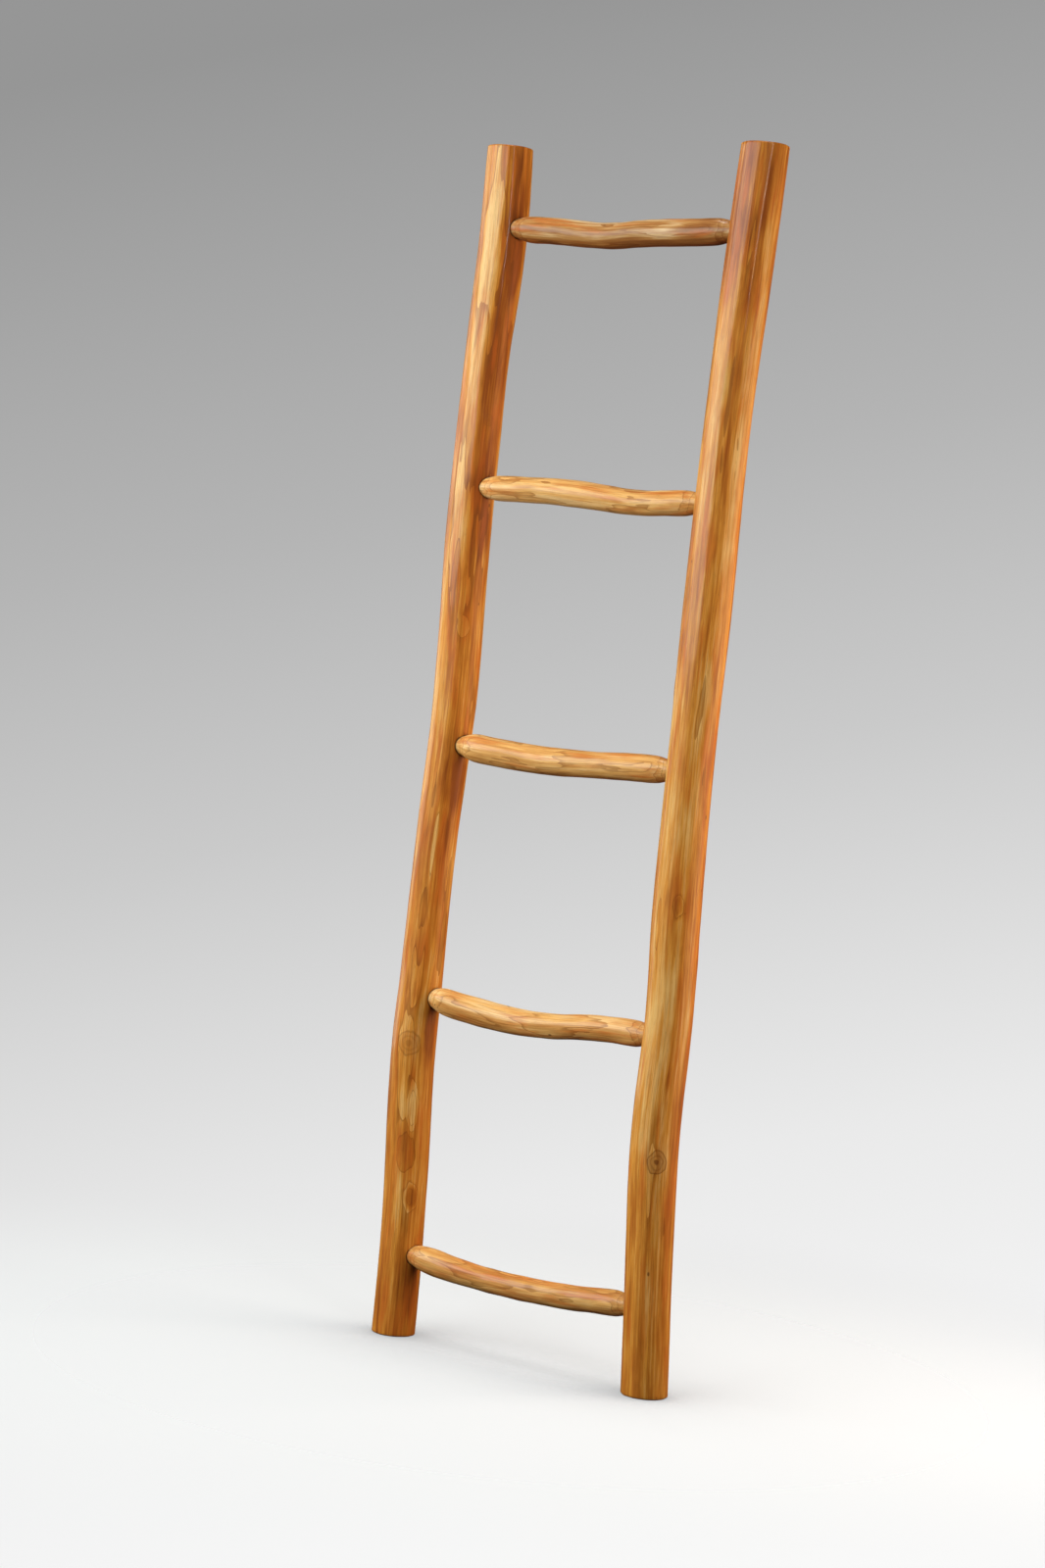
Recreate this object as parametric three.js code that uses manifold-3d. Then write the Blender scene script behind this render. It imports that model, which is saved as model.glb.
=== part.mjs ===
// A rustic ladder of peeled branches that stands as a rack for quilts and blankets.
// Two upright rails carry the rungs. Each rung ends in a round tenon, glued into a blind
// mortise in the rail. A screw driven from the back of the rail locks each tenon, and a
// wooden plug, cut flush, covers its head.
//
// Millimetres. +Z is up, the rungs run along X, and -Y is the front.
// The origin is on the floor, under the middle of the ladder's box.

import * as THREE from 'three';
import * as BufferGeometryUtils from 'three/addons/utils/BufferGeometryUtils.js';
import Module from 'manifold-3d';

const wasm = await Module();
wasm.setup();

// ---- Driving sizes of the ladder ----

const railHeight = 1600;
const railSpacing = 400;
const bottomRungHeight = 114;
const topRungDrop = 111;
const rungRadius = 17.3;
const endEasing = 2;

// ---- Driving sizes of the joints between rung and rail ----

const fitGap = 0.3;
const tenonRadius = 14;
const tenonPastAxis = 8;
const tenonChamfer = 1.5;
const glueRoom = 1;
const mouthClearance = 1;
const shoulderLength = 20;

// ---- Driving sizes of the locking screw and its plug ----

const screwLength = 33;
const screwRadius = 2;
const screwTipRadius = 0.5;
const screwTipLength = 5;
const headRadius = 3.8;
const headHeight = 2.4;
const headRounding = 0.8;
const recessSpan = 4.4;
const recessWidth = 0.9;
const recessDepth = 1.2;
const plugRadius = 5;
const plugDepth = 5.5;

// ---- How finely the round pieces are divided ----

const railSides = 24;
const railSteps = 30;
const rungSides = 16;
const rungSteps = 10;
const shoulderSteps = 4;
const screwSides = 10;
const plugSides = 12;

// ---- Finishes ----

const railWood = { color: '#b87433', roughness: 0.35, metalness: 0 };
const rungWood = { color: '#c98b4a', roughness: 0.35, metalness: 0 };
const plugWood = { color: '#a4672f', roughness: 0.45, metalness: 0 };
const screwSteel = { color: '#9b9a97', roughness: 0.35, metalness: 1 };

// ---- The two branches that make the rails ----
// A rail is nearly straight. Each station along it is [share of the height, bow, swell]:
// the bow moves the centre line along bowDirection, and the swell is added to the radius.
// The inner side of a rail, where the rungs enter, lies towards inward along X.

const bowDirection = new THREE.Vector2( 0.8, 0.6 );

const leftRail = {
	name: 'left',
	axisX: - railSpacing / 2,
	inward: 1,
	radius: 29.5,
	stations: [
		[ 0, 1, - 0.4 ],
		[ 0.09, 0, - 0.2 ],
		[ 0.25, - 9, 0.6 ],
		[ 0.32, - 7.2, - 0.8 ],
		[ 0.4, - 6.2, - 1.6 ],
		[ 0.53, 1, - 0.2 ],
		[ 0.68, - 2.4, 1 ],
		[ 0.81, - 0.6, 0.5 ],
		[ 0.93, 5.8, 2.4 ],
		[ 1, 4, 1 ],
	],
};

const rightRail = {
	name: 'right',
	axisX: railSpacing / 2,
	inward: - 1,
	radius: 31,
	stations: [
		[ 0, 10.5, - 0.4 ],
		[ 0.12, - 1, - 0.5 ],
		[ 0.21, - 7.8, 0.7 ],
		[ 0.31, - 5.6, - 0.4 ],
		[ 0.38, - 8.8, 0.4 ],
		[ 0.52, - 10, - 1 ],
		[ 0.64, - 8.4, 0.4 ],
		[ 0.77, - 6.8, - 1.2 ],
		[ 0.89, - 0.6, 0.4 ],
		[ 1, 6.5, - 0.2 ],
	],
};

const rails = [ leftRail, rightRail ];

// ---- The branches that make the rungs, from the lowest to the highest ----
// Each station is [share of the way between the mouths of the mortises, rise, swell]:
// the rise lifts the centre line, and the swell is added to the radius.
// The arch brings the middle of the rung towards the back.
// forward is how far the tenons lie in front of the middle of the rails, where they were bored.

const rungShapes = [
	{
		arch: - 2,
		forward: 3.3,
		stations: [
			[ 0, - 3.5, 0 ],
			[ 0.12, - 8, 0.4 ],
			[ 0.3, - 12.2, - 1 ],
			[ 0.52, - 13.4, - 1 ],
			[ 0.75, - 10.2, - 0.9 ],
			[ 0.9, - 5.7, - 0.4 ],
			[ 1, - 3.5, 0.2 ],
		],
	},
	{
		arch: 3,
		forward: 0,
		stations: [
			[ 0, 0.5, 0.9 ],
			[ 0.17, - 6.5, 1.2 ],
			[ 0.36, - 11, 0.8 ],
			[ 0.53, - 9.8, - 0.5 ],
			[ 0.78, - 0.8, - 0.3 ],
			[ 1, 1.3, 0.2 ],
		],
	},
	{
		arch: - 3,
		forward: 4,
		stations: [
			[ 0, - 1.5, 1.3 ],
			[ 0.2, - 5.5, 1.6 ],
			[ 0.45, - 8, 1.2 ],
			[ 0.64, - 5.8, 0.2 ],
			[ 0.85, - 2.8, 0.7 ],
			[ 1, - 1.5, 0.7 ],
		],
	},
	{
		arch: 2,
		forward: 4.5,
		stations: [
			[ 0, 0.5, - 0.3 ],
			[ 0.3, 1.1, 0 ],
			[ 0.47, - 1.3, 0.6 ],
			[ 0.74, - 6.8, - 0.9 ],
			[ 0.9, - 4.6, - 0.6 ],
			[ 1, - 3, - 0.4 ],
		],
	},
	{
		arch: - 4,
		forward: 6.2,
		stations: [
			[ 0, 2, - 0.2 ],
			[ 0.18, - 1, 0.3 ],
			[ 0.44, - 7.3, - 0.2 ],
			[ 0.62, - 3.7, 0.3 ],
			[ 0.82, - 2.4, 0.4 ],
			[ 1, 0, 0.2 ],
		],
	},
];

// ---- Helpers ----

// A smooth curve through [share, first, second] stations, read at any share of the way.
function curveThrough( stations ) {

	const shares = stations.map( ( station ) => station[ 0 ] );
	const values = stations.flatMap( ( station ) => station.slice( 1 ) );
	const curve = new THREE.CubicInterpolant( shares, values, 2, [ 0, 0 ] );
	return ( share ) => [ ...curve.evaluate( share ) ];

}

// A round piece turned from [radius, distance along its axis] points, standing along Y.
function turned( outline, sides ) {

	const points = outline.map( ( [ radius, along ] ) => new THREE.Vector2( radius, along ) );
	return new THREE.LatheGeometry( points, sides );

}

// A plain round bar along Y, from one distance to another.
function roundBar( radius, from, to, sides ) {

	const bar = new THREE.CylinderGeometry( radius, radius, to - from, sides );
	return bar.translate( 0, ( from + to ) / 2, 0 );

}

// The closed solid that a geometry bounds, with its flat slivers at the axis left out.
function toSolid( geometry ) {

	const bare = geometry.clone();
	bare.deleteAttribute( 'normal' );
	bare.deleteAttribute( 'uv' );
	const merged = BufferGeometryUtils.mergeVertices( bare, 1e-4 );
	const corners = merged.index.array;
	const faces = [];

	for ( let i = 0; i < corners.length; i += 3 ) {

		const [ a, b, c ] = corners.slice( i, i + 3 );
		if ( a !== b && b !== c && c !== a ) faces.push( a, b, c );

	}

	return new wasm.Manifold( new wasm.Mesh( {
		numProp: 3,
		vertProperties: new Float32Array( merged.attributes.position.array ),
		triVerts: new Uint32Array( faces ),
	} ) );

}

function toMesh( name, solid, finish ) {

	const { vertProperties, triVerts, numProp } = solid.getMesh();
	const positions = [];

	for ( let i = 0; i < vertProperties.length; i += numProp ) {

		positions.push( vertProperties[ i ], vertProperties[ i + 1 ], vertProperties[ i + 2 ] );

	}

	const geometry = new THREE.BufferGeometry();
	geometry.setAttribute( 'position', new THREE.Float32BufferAttribute( positions, 3 ) );
	geometry.setIndex( new THREE.Uint32BufferAttribute( triVerts, 1 ) );
	geometry.computeVertexNormals();
	const mesh = new THREE.Mesh( geometry, new THREE.MeshStandardMaterial( finish ) );
	mesh.name = name;
	return mesh;

}

// Moves every point of a geometry by what shift says for it.
function bent( geometry, shift ) {

	const position = geometry.attributes.position;
	const point = new THREE.Vector3();

	for ( let i = 0; i < position.count; i ++ ) {

		point.fromBufferAttribute( position, i );
		point.add( shift( point ) );
		position.setXYZ( i, point.x, point.y, point.z );

	}

	return geometry;

}

// ---- Where the rails run, and where the rungs meet them ----

for ( const rail of rails ) rail.curve = curveThrough( rail.stations );
for ( const shape of rungShapes ) shape.curve = curveThrough( shape.stations );

// The centre and radius of a rail at a height.
function railAt( rail, height ) {

	const [ bow, swell ] = rail.curve( height / railHeight );
	return {
		x: rail.axisX + bow * bowDirection.x,
		y: bow * bowDirection.y,
		radius: rail.radius + swell,
	};

}

// The rungs are spread evenly between the lowest and the highest.
function rungHeight( index ) {

	const lastIndex = rungShapes.length - 1;
	const topRungHeight = railHeight - topRungDrop;
	return THREE.MathUtils.lerp( bottomRungHeight, topRungHeight, index / lastIndex );

}

// The joint between a rung and a rail: its centre, on the axis of the tenon, and the places
// along its screw. surface is the way back from that centre to the outside of the rail.
function jointAt( rail, index ) {

	const shape = rungShapes[ index ];
	const end = rail.inward > 0 ? 0 : 1;
	const [ rise ] = shape.curve( end );
	const z = rungHeight( index ) + rise;
	const { x, y, radius } = railAt( rail, z );
	const surface = radius + shape.forward;
	const plugFloor = surface - plugDepth;
	const headTop = plugFloor - fitGap;
	const headSeat = headTop - headHeight;
	return {
		rail, x, z, surface, plugFloor, headTop, headSeat,
		y: y - shape.forward,
		screwTip: headSeat - screwLength,
		mouth: x + rail.inward * ( radius + mouthClearance ),
		tenonEnd: x - rail.inward * tenonPastAxis,
	};

}

// ---- Rails ----

// The whole branch, eased at both ends, before anything is cut in it.
function railBlank( rail ) {

	const foot = railAt( rail, 0 ).radius;
	const top = railAt( rail, railHeight ).radius;
	const outline = [ [ 0, 0 ], [ foot - endEasing, 0 ] ];

	for ( let step = 0; step <= railSteps; step ++ ) {

		const height = THREE.MathUtils.lerp( endEasing, railHeight - endEasing, step / railSteps );
		outline.push( [ railAt( rail, height ).radius, height ] );

	}

	outline.push( [ top - endEasing, railHeight ], [ 0, railHeight ] );
	const upright = turned( outline, railSides ).rotateX( Math.PI / 2 );

	return toSolid( bent( upright, ( { z } ) => {

		const { x, y } = railAt( rail, z );
		return new THREE.Vector3( x, y, 0 );

	} ) );

}

// The blind hole that a tenon fits, open on the inner side of the rail.
function mortise( joint ) {

	const reach = tenonPastAxis + glueRoom;
	const bar = roundBar( tenonRadius + fitGap, - reach, joint.surface * 2, rungSides );
	bar.rotateZ( - joint.rail.inward * Math.PI / 2 );
	return toSolid( bar.translate( joint.x, joint.y, joint.z ) );

}

// The stepped hole drilled from the back for the screw, its head and its plug.
function screwHole( joint ) {

	const past = joint.surface * 2;
	const bore = roundBar( screwRadius + fitGap, joint.screwTip - fitGap, joint.surface, screwSides );
	const counterbore = roundBar( plugRadius + fitGap, joint.headSeat - fitGap, past, plugSides );
	const place = ( bar ) => toSolid( bar.translate( joint.x, joint.y, joint.z ) );
	return place( bore ).add( place( counterbore ) );

}

function railSolid( blank, joints ) {

	let solid = blank;
	for ( const joint of joints ) solid = solid.subtract( mortise( joint ) ).subtract( screwHole( joint ) );
	return solid;

}

// ---- Rungs ----

// Radius of a rung at a distance along X: the branch itself, carved down to the tenon
// in a rounded shoulder at each end.
function rungRadiusAt( shape, x, start, end ) {

	const share = THREE.MathUtils.clamp( ( x - start ) / ( end - start ), 0, 1 );
	const [ , swell ] = shape.curve( share );
	const fromMouth = Math.min( x - start, end - x );
	const carve = Math.sin( Math.PI / 2 * THREE.MathUtils.clamp( fromMouth / shoulderLength, 0, 1 ) );
	return THREE.MathUtils.lerp( tenonRadius, rungRadius + swell, carve );

}

// Distances along X where a rung's outline has points, from one mouth to the other.
function rungPlaces( start, end ) {

	const places = [];
	for ( let i = 0; i < shoulderSteps; i ++ ) places.push( start + shoulderLength * i / shoulderSteps );
	const bodyStart = start + shoulderLength;
	const bodyEnd = end - shoulderLength;
	const bodyPlace = ( i ) => THREE.MathUtils.lerp( bodyStart, bodyEnd, i / rungSteps );
	for ( let i = 0; i <= rungSteps; i ++ ) places.push( bodyPlace( i ) );
	for ( let i = shoulderSteps - 1; i >= 0; i -- ) places.push( end - shoulderLength * i / shoulderSteps );
	return places;

}

function rungSolid( index, leftJoint, rightJoint ) {

	const shape = rungShapes[ index ];
	const start = leftJoint.mouth;
	const end = rightJoint.mouth;
	const outline = [
		[ 0, leftJoint.tenonEnd ],
		[ tenonRadius - tenonChamfer, leftJoint.tenonEnd ],
		[ tenonRadius, leftJoint.tenonEnd + tenonChamfer ],
	];
	for ( const x of rungPlaces( start, end ) ) outline.push( [ rungRadiusAt( shape, x, start, end ), x ] );
	outline.push(
		[ tenonRadius, rightJoint.tenonEnd - tenonChamfer ],
		[ tenonRadius - tenonChamfer, rightJoint.tenonEnd ],
		[ 0, rightJoint.tenonEnd ],
	);
	const bar = turned( outline, rungSides ).rotateZ( - Math.PI / 2 );

	const solid = toSolid( bent( bar, ( { x } ) => {

		const share = THREE.MathUtils.clamp( ( x - start ) / ( end - start ), 0, 1 );
		const [ rise ] = shape.curve( share );
		const chord = THREE.MathUtils.lerp( leftJoint.y, rightJoint.y, share );
		const arch = shape.arch * Math.sin( Math.PI * share );
		return new THREE.Vector3( 0, chord + arch, rungHeight( index ) + rise );

	} ) );

	return solid.subtract( screwHole( leftJoint ) ).subtract( screwHole( rightJoint ) );

}

// ---- Screws and plugs ----

// A wood screw with a round head and a cross recess. Its thread is left plain.
function screwSolid( joint ) {

	const body = toSolid( turned( [
		[ 0, joint.screwTip ],
		[ screwTipRadius, joint.screwTip ],
		[ screwRadius, joint.screwTip + screwTipLength ],
		[ screwRadius, joint.headSeat ],
		[ headRadius, joint.headSeat ],
		[ headRadius, joint.headTop - headRounding ],
		[ headRadius - headRounding, joint.headTop ],
		[ 0, joint.headTop ],
	], screwSides ) );
	const recess = ( width, height ) => toSolid(
		new THREE.BoxGeometry( width, recessDepth * 2, height ).translate( 0, joint.headTop, 0 ) );
	return body
		.subtract( recess( recessSpan, recessWidth ) )
		.subtract( recess( recessWidth, recessSpan ) )
		.translate( [ joint.x, joint.y, joint.z ] );

}

// A plug over the screw's head, cut flush with the back of its rail.
function plugSolid( joint, blank ) {

	const bar = roundBar( plugRadius, joint.plugFloor, joint.surface * 2, plugSides );
	return toSolid( bar.translate( joint.x, joint.y, joint.z ) ).intersect( blank );

}

// ---- Assembly ----

const ladder = new THREE.Group();
const indices = rungShapes.map( ( shape, index ) => index );

for ( const rail of rails ) {

	const blank = railBlank( rail );
	const joints = indices.map( ( index ) => jointAt( rail, index ) );
	ladder.add( toMesh( `${rail.name}_rail`, railSolid( blank, joints ), railWood ) );

	joints.forEach( ( joint, index ) => {

		ladder.add( toMesh( `${rail.name}_screw_${index + 1}`, screwSolid( joint ), screwSteel ) );
		ladder.add( toMesh( `${rail.name}_plug_${index + 1}`, plugSolid( joint, blank ), plugWood ) );

	} );

}

for ( const index of indices ) {

	const solid = rungSolid( index, jointAt( leftRail, index ), jointAt( rightRail, index ) );
	ladder.add( toMesh( `rung_${index + 1}`, solid, rungWood ) );

}

const box = new THREE.Box3().setFromObject( ladder );
const middle = box.getCenter( new THREE.Vector3() );
ladder.position.set( - middle.x, - middle.y, - box.min.z );

const part = new THREE.Group();
part.add( ladder );

export default part;
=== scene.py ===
# %% [markdown]
# # A ladder of peeled branches, as a rack for quilts
#
# The object is a plain rustic ladder. Two teak branches stand upright as rails, and five
# thinner ones run between them as rungs. Each rung is carved down to a round tenon at both
# ends and glued into a hole in the rail. A screw from the back locks each tenon, under a plug.
#
# The measured model comes first, and is never changed. Every piece below takes its place and
# its size from it.

# %% Load the measured model
import math

import bpy
import numpy as np
from mathutils import Matrix, Vector


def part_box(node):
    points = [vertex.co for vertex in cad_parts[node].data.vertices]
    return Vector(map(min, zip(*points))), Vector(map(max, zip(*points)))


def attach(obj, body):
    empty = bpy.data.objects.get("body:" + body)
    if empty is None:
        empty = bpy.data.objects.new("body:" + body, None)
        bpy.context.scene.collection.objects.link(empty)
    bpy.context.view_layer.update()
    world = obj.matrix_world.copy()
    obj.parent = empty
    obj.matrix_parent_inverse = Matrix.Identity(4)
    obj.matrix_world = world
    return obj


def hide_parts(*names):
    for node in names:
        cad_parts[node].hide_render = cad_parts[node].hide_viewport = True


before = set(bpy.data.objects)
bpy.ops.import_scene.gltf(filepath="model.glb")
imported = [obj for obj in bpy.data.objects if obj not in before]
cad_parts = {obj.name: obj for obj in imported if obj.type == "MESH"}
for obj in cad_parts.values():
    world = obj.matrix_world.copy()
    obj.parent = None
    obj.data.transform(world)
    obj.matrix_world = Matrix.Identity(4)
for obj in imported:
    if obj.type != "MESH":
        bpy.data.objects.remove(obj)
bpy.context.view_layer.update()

MM = 0.001
SIDES = ("left", "right")
RUNG_COUNT = sum(name.startswith("rung_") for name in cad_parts)

# %% [markdown]
# ## The camera
#
# The camera comes first, because every later choice is judged through it. It stands to the
# right of the ladder at chest height, with a long lens, and is held a little askew, so the
# upright ladder leans in the picture. A camera can be aimed with a Track To constraint, but a
# rotation built from three named angles is easier to read and leaves nothing to evaluate.

# %% Place the camera
CAMERA_DISTANCE = 4.404
CAMERA_AZIMUTH = math.radians(36.1)
CAMERA_TILT_DOWN = math.radians(2.2)
CAMERA_ROLL = math.radians(5.6)
AIM_POINT = Vector((-0.074, 0.0, 0.759))


def direction(azimuth, elevation):
    """The way from the ladder towards an azimuth (0 is the front, 90 the right) and elevation."""
    level = math.cos(elevation)
    return Vector((math.sin(azimuth) * level, -math.cos(azimuth) * level, math.sin(elevation)))


def aimed(place, target, roll=0.0):
    """A matrix that stands at place and looks at target, turned by roll about its own axis."""
    turn = (target - place).to_track_quat("-Z", "Y").to_matrix()
    return Matrix.Translation(place) @ (turn @ Matrix.Rotation(roll, 3, "Z")).to_4x4()


camera_data = bpy.data.cameras.new("camera")
camera_data.sensor_width = 36.0
camera_data.lens = 76.5
camera = bpy.data.objects.new("camera", camera_data)
camera_place = AIM_POINT + CAMERA_DISTANCE * direction(CAMERA_AZIMUTH, CAMERA_TILT_DOWN)
camera.matrix_world = aimed(camera_place, AIM_POINT, CAMERA_ROLL)
bpy.context.scene.collection.objects.link(camera)
bpy.context.scene.camera = camera
print("the camera stands at", [round(c, 2) for c in camera_place])

# %% [markdown]
# ## Reading the branches from the model
#
# The measured branches are turned rings that were shifted sideways, so every whole ring in
# the mesh gives a centre and a radius. Rays could find the surface too, but the holes would
# get in their way. A circle fitted to each whole ring passes them by, and a smooth curve
# through the rings then gives the branch at any place along it.

# %% Find the rings of a branch
RAIL_AXES = (0, 1, 2)
RUNG_AXES = (1, 2, 0)


def fitted_circle(points):
    """Centre and radius of the circle that lies nearest to a ring of points."""
    rows = np.column_stack([2 * points, np.ones(len(points))])
    (cx, cy, rest), *_ = np.linalg.lstsq(rows, (points ** 2).sum(1), rcond=None)
    return cx, cy, math.sqrt(rest + cx ** 2 + cy ** 2)


def whole_rings(node, axes, least_points):
    """One row [place along the branch, centre, centre, radius] for each ring without a hole in it."""
    across, up, along = axes
    levels = {}
    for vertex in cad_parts[node].data.vertices:
        spot = (round(vertex.co[across], 6), round(vertex.co[up], 6))
        levels.setdefault(round(vertex.co[along], 5), set()).add(spot)
    rows = []
    for level in sorted(levels):
        spots = np.array(sorted(levels[level]))
        if len(spots) == least_points:
            rows.append([level, *fitted_circle(spots)])
    return np.array(rows)


def curve_through(places, values):
    """A smooth curve through values at places, as a function of the place."""
    slopes = np.gradient(values, places)

    def at(wanted):
        wanted = np.clip(wanted, places[0], places[-1])
        i = np.clip(np.searchsorted(places, wanted) - 1, 0, len(places) - 2)
        span = places[i + 1] - places[i]
        t = (wanted - places[i]) / span
        start = (2 * t ** 3 - 3 * t ** 2 + 1) * values[i] + (t ** 3 - 2 * t ** 2 + t) * span * slopes[i]
        end = (3 * t ** 2 - 2 * t ** 3) * values[i + 1] + (t ** 3 - t ** 2) * span * slopes[i + 1]
        return start + end

    return at


print("the left rail has", len(whole_rings("left_rail", RAIL_AXES, 24)), "whole rings")

# %% [markdown]
# ## A skin over rows of points
#
# Every wooden piece here is round and long, so one way of making a mesh serves them all: rows
# of points round the piece, each joined to the next, with a fan that closes each end. A curve
# with a bevel would make a tube too, but couldn't hold flats, shoulders and flat sawn ends.

# %% Make a closed skin
def skin(name, rows):
    """A closed mesh over an array of rows, each a ring of points. The fans close both ends."""
    count, sides = rows.shape[:2]
    points = np.vstack([rows.reshape(-1, 3), rows[0].mean(0), rows[-1].mean(0)])
    j = np.arange(sides)
    after = (j + 1) % sides
    faces = []
    for i in range(count - 1):
        low, high = i * sides, (i + 1) * sides
        faces += np.column_stack([low + j, low + after, high + after, high + j]).tolist()
    first, last = count * sides, count * sides + 1
    top = (count - 1) * sides
    faces += np.column_stack([np.full(sides, first), after, j]).tolist()
    faces += np.column_stack([np.full(sides, last), top + j, top + after]).tolist()
    mesh = bpy.data.meshes.new(name)
    mesh.from_pydata(points.tolist(), [], faces)
    mesh.validate()
    piece = bpy.data.objects.new(name, mesh)
    bpy.context.scene.collection.objects.link(piece)
    return piece


def ring_points(axes, place, centre, radius, angles):
    """Points round a ring. axes gives the two directions across the piece and the one along it."""
    points = np.empty((len(angles), 3))
    points[:, axes[0]] = centre[0] + radius * np.cos(angles)
    points[:, axes[1]] = centre[1] + radius * np.sin(angles)
    points[:, axes[2]] = place
    return points


def turned(name, axes, centre, profile, sides):
    """A plain turned solid from [place, radius] pairs."""
    angles = np.linspace(0, math.tau, sides, endpoint=False)
    return skin(name, np.array([ring_points(axes, place, centre, r, angles) for place, r in profile]))


quarter = ring_points(RAIL_AXES, 0, (0, 0), 1, np.radians([0, 90]))
print("a ring starts at", quarter[0].round(3), "and a quarter turn on is at", quarter[1].round(3))

# %% [markdown]
# ## The hand of the drawknife
#
# A branch peeled with a drawknife keeps the shape of the tree: long soft swellings, a little
# lobing, and narrow flats where the blade ran. A noise texture could push the surface about,
# but it would look like stone. So the swellings are a few long waves, and each flat is a plane
# that cuts slightly into the round. The flats wander along the branch and come and go.

# %% Shape the surface of a branch
def soft_least(a, b, blend):
    """The smaller of a and b, with the corner between them rounded over blend."""
    share = np.clip(0.5 + 0.5 * (b - a) / blend, 0, 1)
    return b + (a - b) * share - blend * share * (1 - share)


def long_waves(random, places, angles, lobes, lengths, height):
    """A sum of slow waves round and along a branch, with about the given height."""
    total = 0
    for lobe in lobes:
        length = random.uniform(*lengths)
        phase, lean = random.uniform(0, math.tau, 2)
        along = np.sin(math.tau * places / length + phase)
        total = total + along * np.cos(lobe * angles + lean + places / length)
    return height * total / math.sqrt(len(lobes))


ROUNDED_CORNER = 0.3 * MM
FLAT_REACH = 1.0


def knife_flats(random, places, angles, radius, starts, depth, sway):
    """The radius left after a drawknife has cut a wandering flat into a round branch at each
    start. Starts and sway are in radians."""
    left = np.broadcast_to(radius, (places.shape[0], angles.shape[1]))
    for start in starts:
        length = random.uniform(0.35, 0.8)
        wander, fade = random.uniform(0, math.tau, 2)
        middle = start + sway * np.sin(math.tau * places / length + wander)
        cut = depth * (0.65 + 0.35 * np.sin(math.tau * places / (0.6 * length) + fade))
        offset = (angles - middle + math.pi) % math.tau - math.pi
        slant = np.cos(np.clip(offset, -FLAT_REACH, FLAT_REACH))
        plane = np.where(abs(offset) < FLAT_REACH, (radius - cut) / slant, 1.0)
        left = soft_least(left, plane, ROUNDED_CORNER)
    return left


def knot_swelling(places, angles, radius, knots):
    """The low mound round each knot: [azimuth, place, radius, height]."""
    total = 0
    for azimuth, place, size, height in knots:
        turn = (angles - azimuth + math.pi) % math.tau - math.pi
        away = (radius * turn) ** 2 + (places - place) ** 2
        total = total + height * np.exp(-away / (2 * size) ** 2)
    return total


flat_width = 2 * math.sqrt(30 ** 2 - 29.4 ** 2)
print("a 0.6 mm cut in a branch of 30 mm radius leaves a flat", round(flat_width), "mm wide")

# %% [markdown]
# ## Cutting the joints
#
# The joints are real: a hole in the rail, and the rung's own tenon in it. A Boolean modifier
# with the exact solver cuts them as a drill would. The cutters follow the measured tenons,
# screws and plugs, with the same thin gap that is left for glue.

# %% Drill holes
GLUE_GAP = 0.3 * MM
SHANK_RADIUS = 2 * MM
HEAD_HEIGHT = 2.7 * MM
DRILL_SIDES = 32
CLEAR_OF_RAIL = 10 * MM


def drilled(piece, cutters):
    """Cuts the cutters out of a piece, and removes them."""
    for cutter in cutters:
        modifier = piece.modifiers.new("drill", "BOOLEAN")
        modifier.operation = "DIFFERENCE"
        modifier.solver = "EXACT"
        modifier.object = cutter
        evaluated = piece.evaluated_get(bpy.context.evaluated_depsgraph_get())
        mesh = bpy.data.meshes.new_from_object(evaluated)
        piece.modifiers.clear()
        piece.data = mesh
        bpy.data.objects.remove(cutter)
    return piece


def joined(name, pieces):
    """One object that holds the meshes of several, which are removed."""
    points, faces = [], []
    for piece in pieces:
        start = len(points)
        points += [tuple(v.co) for v in piece.data.vertices]
        faces += [[start + i for i in face.vertices] for face in piece.data.polygons]
        bpy.data.objects.remove(piece)
    mesh = bpy.data.meshes.new(name)
    mesh.from_pydata(points, [], faces)
    whole = bpy.data.objects.new(name, mesh)
    bpy.context.scene.collection.objects.link(whole)
    return whole


def middle(node):
    low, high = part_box(node)
    return (low + high) / 2


SCREW_AXES = (2, 0, 1)


def screw_drill(side, number):
    """The stepped drill for a screw, its head and its plug, from the back of the rail. The head
    and the gap over it take HEAD_HEIGHT."""
    plug_low, plug_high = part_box(f"{side}_plug_{number}")
    screw_low, screw_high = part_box(f"{side}_screw_{number}")
    centre = middle(f"{side}_plug_{number}")
    plug_radius = (plug_high.z - plug_low.z) / 2
    shoulder = plug_low.y - HEAD_HEIGHT - GLUE_GAP
    return turned("drill", SCREW_AXES, (centre.z, centre.x), [
        (screw_low.y - GLUE_GAP, SHANK_RADIUS + GLUE_GAP),
        (shoulder, SHANK_RADIUS + GLUE_GAP),
        (shoulder, plug_radius + GLUE_GAP),
        (plug_high.y + CLEAR_OF_RAIL, plug_radius + GLUE_GAP),
    ], DRILL_SIDES)


print("every hole leaves", GLUE_GAP / MM, "mm all round for glue")

# %% [markdown]
# ## The wood
#
# The real material is teak, peeled, sanded and clear lacquered. To the eye it is honey
# coloured, with browner and paler layers, because peeling cuts through one year's growth into
# the next. So the grain here is a block of growth rings about a wandering pith, and the
# surface shows where it cuts them. An image of wood would stretch round the bends, and flat
# noise wouldn't meet the end grain. The rings need each branch as if it were straight, so
# every point keeps its place in a straightened branch.

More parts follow.
